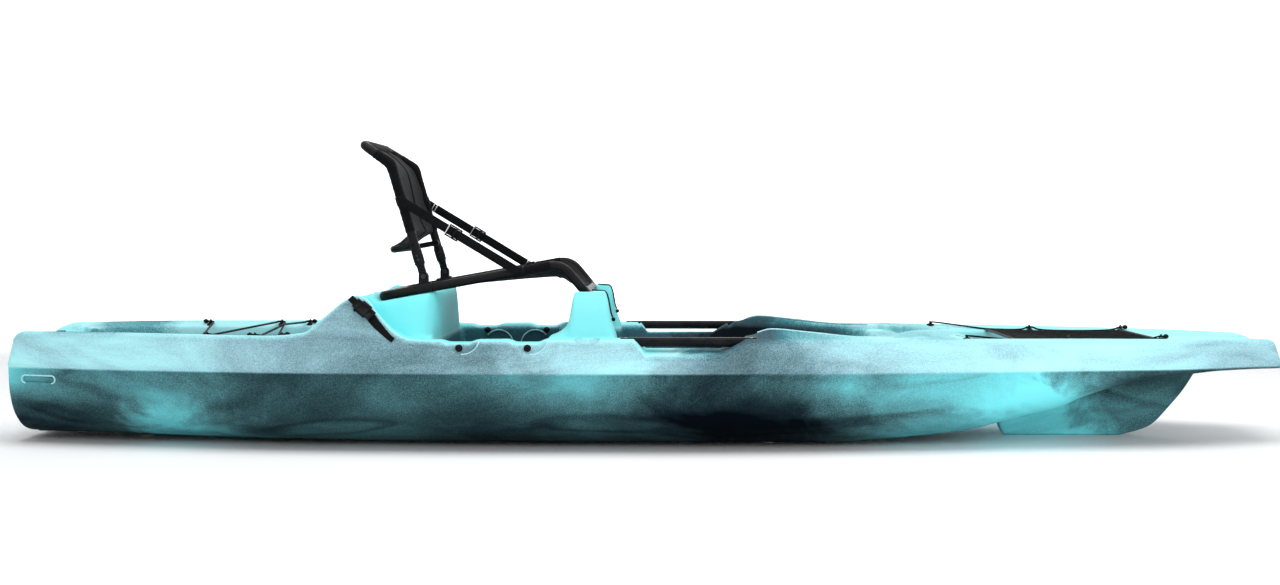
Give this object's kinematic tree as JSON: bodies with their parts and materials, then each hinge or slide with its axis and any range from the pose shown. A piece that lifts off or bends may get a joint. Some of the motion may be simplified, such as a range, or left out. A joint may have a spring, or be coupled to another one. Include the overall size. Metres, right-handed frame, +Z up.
{
  "type": "sit-on-top fishing kayak",
  "caption": "Moulded sit-on-top fishing kayak with a raised folding tube-frame seat, rear tankwell with laced bungee, side accessory rails, mesh-covered bow well and a skeg-like bow keel.",
  "frame": {"origin": "middle of the bounding box, at its bottom: the hull's flat bottom lies on Z = 0", "axes": "+X towards the bow, +Y to port, +Z up"},
  "size_m": [3.5, 0.8898, 0.8286],
  "materials": {
    "hull_plastic": "rotationally moulded polyethylene, aqua with dark marbling",
    "black_plastic": "black moulded plastic",
    "black_tube": "black anodised aluminium tube",
    "steel": "plain stainless steel",
    "black_fabric": "black open mesh fabric",
    "webbing": "black woven webbing",
    "elastic": "black sheathed shock cord",
    "gasket_rubber": "soft black rubber"
  },
  "bodies": {
    "hull": {"hull_body": "hull_plastic", "skid_plate": "black_plastic", "drain_gasket": "gasket_rubber", "rail_left": "black_tube", "rail_right": "black_tube", "rail_bolts": "steel", "gunwale_bolts": "black_plastic", "gunwale_nuts": "black_plastic", "stern_pad_eyes": "black_plastic", "stern_bungee": "elastic", "bungee_knobs": "black_plastic", "bow_pad_eyes": "black_plastic", "bow_cord_anchors": "black_plastic", "bow_mesh_cover": "black_fabric", "bow_mesh_cord": "elastic", "bow_cord_knobs": "black_plastic", "shoulder_strap_left": "webbing", "shoulder_strap_right": "webbing", "shoulder_buckle_left": "black_plastic", "shoulder_buckle_right": "black_plastic", "seat_tether_left": "elastic", "seat_tether_right": "elastic", "tether_beads": "black_plastic"},
    "drain": {"drain_plug": "black_plastic"},
    "seat": {"seat_base_frame": "black_tube", "seat_sling": "black_fabric", "hinge_bracket_left": "black_plastic", "hinge_bracket_right": "black_plastic", "hinge_pins": "steel", "base_strap_loops": "webbing", "back_strap_left": "webbing", "back_strap_right": "webbing", "strap_buckle_left": "black_plastic", "strap_buckle_right": "black_plastic"},
    "backrest": {"back_frame": "black_tube", "back_panel": "black_fabric", "lumbar_bar": "black_tube", "lumbar_bolts": "steel", "back_strap_loops": "webbing"}
  },
  "joints": [
    {"name": "seat_lift", "type": "slide", "parent": "hull", "child": "seat", "axis": [0, 0, 1], "range_m": [0, 0.12]},
    {"name": "backrest_fold", "type": "hinge", "parent": "seat", "child": "backrest", "pos_m": [-0.612, 0, 0.45785], "axis": [0, 1, 0], "range_deg": [0, 92], "deforming": ["back_strap_left", "back_strap_right", "strap_buckle_left", "strap_buckle_right"]},
    {"name": "drain_plug_out", "type": "slide", "parent": "hull", "child": "drain", "axis": [0, 0, 1], "range_m": [0, 0.06]}
  ]
}
